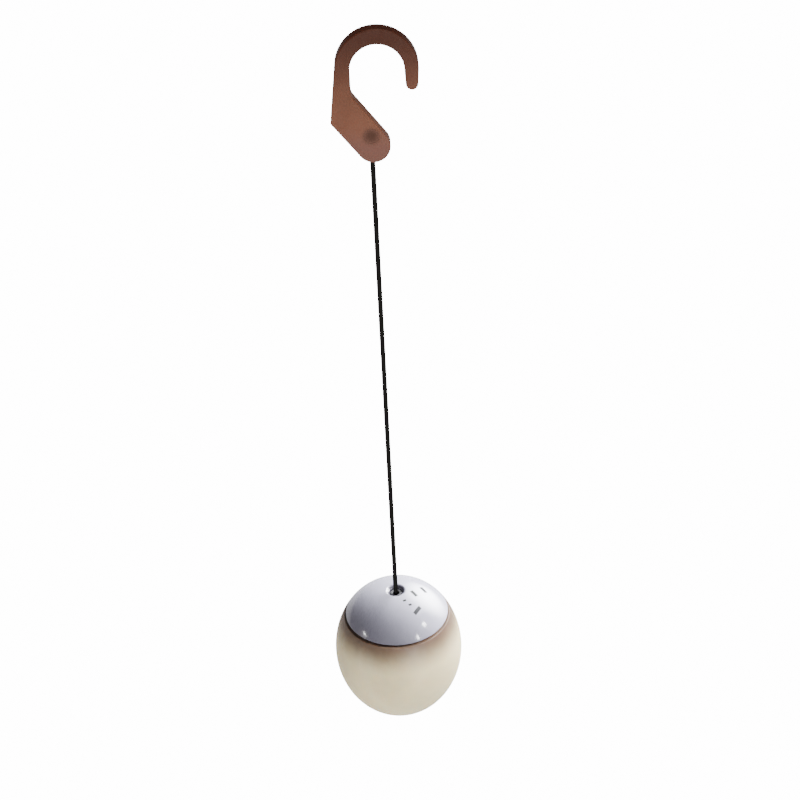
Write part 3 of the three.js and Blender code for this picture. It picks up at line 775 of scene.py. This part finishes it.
def board_look():
    """Printed board: copper tracks under green lacquer, with small tinned pads."""
    green = (0.012, 0.10, 0.038)
    look = Look("board_green", green, 0.34, coat_weight=0.4, coat_roughness=0.2)
    tracks = look.add("TexBrick", {
        "Vector": look.place, "Scale": 240.0, "Mortar Size": 0.03, "Mortar Smooth": 0.2,
        "Brick Width": 0.9, "Row Height": 0.32,
    }).outputs["Fac"]
    pads = look.add("TexVoronoi", {"Vector": look.place, "Scale": 330.0}).outputs["Distance"]
    pad = look.span(pads, 0.2, 0.16)
    tone = look.mix(tracks, green, (0.045, 0.21, 0.06))
    look.set("Base Color", look.mix(look.math("MULTIPLY", pad, 0.8), tone, (0.5, 0.5, 0.48)))
    look.bump(look.math("ADD", tracks, pad), 0.03 * MM, 0.6)
    return look


def clear_look():
    look = Look("light_spreader", (0.86, 0.9, 0.92), 0.2, transmission_weight=0.6, ior=1.49)
    frost = look.noise(800, 4)
    look.set("Roughness", look.span(frost, 0.3, 0.7, 0.14, 0.32))
    look.bump(frost, 0.02 * MM, 0.5)
    return look


def lamp_look():
    """Yellow phosphor under a clear square lens."""
    look = Look("lamp_phosphor", (0.85, 0.66, 0.22), 0.22, coat_weight=0.7, coat_roughness=0.08)
    speck = look.noise(2400, 3)
    grain = look.span(speck, 0.3, 0.7)
    look.set("Base Color", look.mix(grain, (0.78, 0.56, 0.15), (0.92, 0.76, 0.36)))
    look.bump(speck, 0.01 * MM, 0.4)
    return look


# Noise cells per metre along each axis: the fewest run along the lines.
LINES_ALONG_X = (300, 4200, 4200)
LINES_ALONG_Z = (4200, 4200, 500)
ROLLED_FLAT = (900, 900, 5200)
NO_LINES = (2500, 2500, 2500)
braid = cord_look()
steel = metal("steel_rolled", (0.6, 0.61, 0.63), 0.28, LINES_ALONG_X)
chip = moulded("chip_black", (0.014, 0.014, 0.016), 0.55, 0.02 * MM, 0.25)
white = moulded("frame_white", (0.72, 0.71, 0.67), 0.5, 0.02 * MM)

PIECE_LOOKS = {
    cord: braid, upper_bend: braid, lower_bend: braid,
    hook: hook_look(), cover: cover_look(),
    cap: cap_look(), grommet: moulded("grommet_dark", (0.03, 0.03, 0.035), 0.7, 0.03 * MM, 0.1),
    shell: shell_look(),
    spring: metal("steel_drawn", (0.56, 0.57, 0.6), 0.3, LINES_ALONG_Z),
}
# By node. A name that ends in _ stands for every node whose name starts with it.
NODE_LOOKS = {
    "hook_knot": braid, "cap_knot": braid,
    "inner_frame": white, "turn_ring": moulded("ring_white", (0.66, 0.66, 0.64), 0.45, 0.02 * MM),
    "circuit_board": board_look(), "press_plate": clear_look(),
    "knot_washer": steel, "cell_contact": steel, "cell_clip": steel,
    "retaining_clip": steel, "detent_leaf": steel,
    "coin_cell": metal("cell_steel", (0.66, 0.66, 0.65), 0.24, ROLLED_FLAT),
    "frame_screw_": metal("screw_steel", (0.5, 0.5, 0.52), 0.33, LINES_ALONG_Z),
    "ring_magnet_": metal("magnet_nickel", (0.36, 0.37, 0.39), 0.32, NO_LINES),
    "buzzer": moulded("buzzer_black", (0.018, 0.018, 0.019), 0.48, 0.02 * MM, 0.2),
    "timer_chip": chip, "hall_sensor": chip,
    "switch_base": moulded("switch_black", (0.02, 0.02, 0.021), 0.5, 0.015 * MM, 0.2),
    "switch_plunger": moulded("plunger_brown", (0.16, 0.10, 0.06), 0.4, 0.015 * MM),
    "led_": lamp_look(),
}


def wear(piece, look):
    piece.data.materials.clear()
    piece.data.materials.append(look.material)


for piece, look in PIECE_LOOKS.items():
    wear(piece, look)
for name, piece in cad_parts.items():
    for start, look in NODE_LOOKS.items():
        if name == start or (start.endswith("_") and name.startswith(start)):
            piece.material_slots[0].link = "OBJECT"
            piece.material_slots[0].material = look.material


# ---- Floor, room and lights ----------------------------------------------------------------------

FLOOR_DROP = 0.35  # below the object
FLOOR_REACH = 12.0
WHITE_SEEN = 15.0  # strength at which the floor and the wall show white
LIGHT_FROM_FLOOR = 0.9  # strength at which the floor lights the object
ROOM_COLOR = (0.06, 0.057, 0.06)


def make_floor():
    """A floor far below that shows white, and lights the object more weakly than that."""
    level = cad_box[0].z - FLOOR_DROP
    signs = ((-1, -1), (1, -1), (1, 1), (-1, 1))
    corners = [(x * FLOOR_REACH, y * FLOOR_REACH, level) for x, y in signs]
    mesh = bpy.data.meshes.new("floor")
    mesh.from_pydata(corners, [], [(0, 1, 2, 3)])
    floor = new_object("floor", mesh)
    material = bpy.data.materials.new("floor_white")
    tree = empty_tree(material)
    seen = add_node(tree, "LightPath").outputs["Is Camera Ray"]
    strength = add_node(tree, "MapRange", {
        "Value": seen, "To Min": LIGHT_FROM_FLOOR, "To Max": WHITE_SEEN}).outputs["Result"]
    glow = add_node(tree, "Emission", {"Strength": strength})
    add_node(tree, "OutputMaterial", {"Surface": glow.outputs[0]})
    mesh.materials.append(material)


def make_room():
    """Dim even light from all round, in front of a white wall."""
    world = bpy.data.worlds.new("room")
    bpy.context.scene.world = world
    tree = empty_tree(world)
    seen = add_node(tree, "LightPath").outputs["Is Camera Ray"]
    room = add_node(tree, "Background", {"Color": (*ROOM_COLOR, 1)})
    wall = add_node(tree, "Background", {"Color": (1, 1, 1, 1), "Strength": WHITE_SEEN})
    pick = add_node(tree, "MixShader", {0: seen, 1: room.outputs[0], 2: wall.outputs[0]})
    add_node(tree, "OutputWorld", {"Surface": pick.outputs[0]})


def lit_alone(name, pieces):
    """A group of pieces that some lights light alone."""
    group = bpy.data.collections.new(name)
    for piece in pieces:
        group.objects.link(piece)
    return group


cap_pieces = lit_alone("cap_pieces", (cap, grommet))
shell_pieces = lit_alone("shell_pieces", (shell,))
hanger_pieces = lit_alone("hanger_pieces", (hook, cover, cord, upper_bend))


def fade_edges(data):
    """Fades an area light smoothly from its middle to its edges, as cloth over a lamp does."""
    tree = empty_tree(data)
    place = add_node(tree, "NewGeometry").outputs["Parametric"]
    away = add_node(tree, "VectorMath", {0: place, 1: (0.5, 0.5, 0)}, operation="DISTANCE")
    fade = add_node(tree, "MapRange", {
        "Value": away.outputs["Value"], "From Min": 0.5, "From Max": 0.05,
    }, interpolation_type="SMOOTHSTEP")
    glow = add_node(tree, "Emission", {"Strength": fade.outputs["Result"]})
    add_node(tree, "OutputLight", {"Surface": glow.outputs[0]})


AT_TIMER, AT_CORD, AT_HOOK = -0.3, -0.2, -0.03  # heights that lights are aimed at
PLAIN, COOL = (1, 1, 1), (0.97, 0.98, 1)
CREAMY, CREAMIER, CREAMIEST = (1, 0.99, 0.96), (1, 0.98, 0.94), (1, 0.95, 0.84)


def softbox(name, azimuth, elevation, distance, size, power, color=PLAIN, aim=AT_TIMER, only=None):
    """A soft light aimed at the axis. Azimuth 0 is in front, at -Y, and 90 is to the right."""
    a, e = math.radians(azimuth), math.radians(elevation)
    away = Vector((math.sin(a) * math.cos(e), -math.cos(a) * math.cos(e), math.sin(e)))
    data = bpy.data.lights.new(name, "AREA")
    data.shape = "RECTANGLE"
    data.size, data.size_y = size
    data.energy = power
    data.color = color
    light = new_object(name, data)
    light.visible_camera = False
    light.location = Vector((0, 0, aim)) + away * distance
    light.rotation_mode = "QUATERNION"
    light.rotation_quaternion = (-away).to_track_quat("-Z", "Y")
    if only:
        light.light_linking.receiver_collection = only
    fade_edges(data)


make_floor()
make_room()
softbox("key", 136, 27, 0.9, (1.3, 1.4), 400, COOL, only=cap_pieces)
softbox("top_right", 100, 55, 0.9, (0.5, 0.5), 6, COOL, only=cap_pieces)
softbox("shell_rear", 136, 20, 0.9, (0.8, 0.8), 110, CREAMY, only=shell_pieces)
softbox("shell_low", 20, -38, 0.9, (0.5, 0.5), 90, CREAMIER, only=shell_pieces)
softbox("shell_front", 28, 2, 1.3, (0.9, 0.9), 55, CREAMIER, only=shell_pieces)
softbox("shell_right", 92, 46, 0.9, (0.5, 0.5), 62, CREAMY, only=shell_pieces)
softbox("shell_left", -60, -20, 0.9, (0.5, 0.5), 12, CREAMIEST, only=shell_pieces)
softbox("hook_front", 10, 2, 1.3, (0.9, 0.9), 32, (1, 0.97, 0.93), aim=AT_HOOK, only=hanger_pieces)
softbox("hook_over", 20, 72, 1.0, (0.6, 0.6), 24, (1, 0.95, 0.9), aim=AT_HOOK, only=hanger_pieces)
softbox("left_warm", -75, 5, 1.2, (0.8, 0.8), 1.2, (1, 0.8, 0.7), aim=AT_CORD)
softbox("window_right", 72, 35, 1.1, (0.20, 0.24), 15, only=cap_pieces)
softbox("window_low", 43, 27, 1.1, (0.13, 0.20), 7, only=cap_pieces)
softbox("window_left", -74, 19, 1.1, (0.25, 0.10), 2.2, only=cap_pieces)
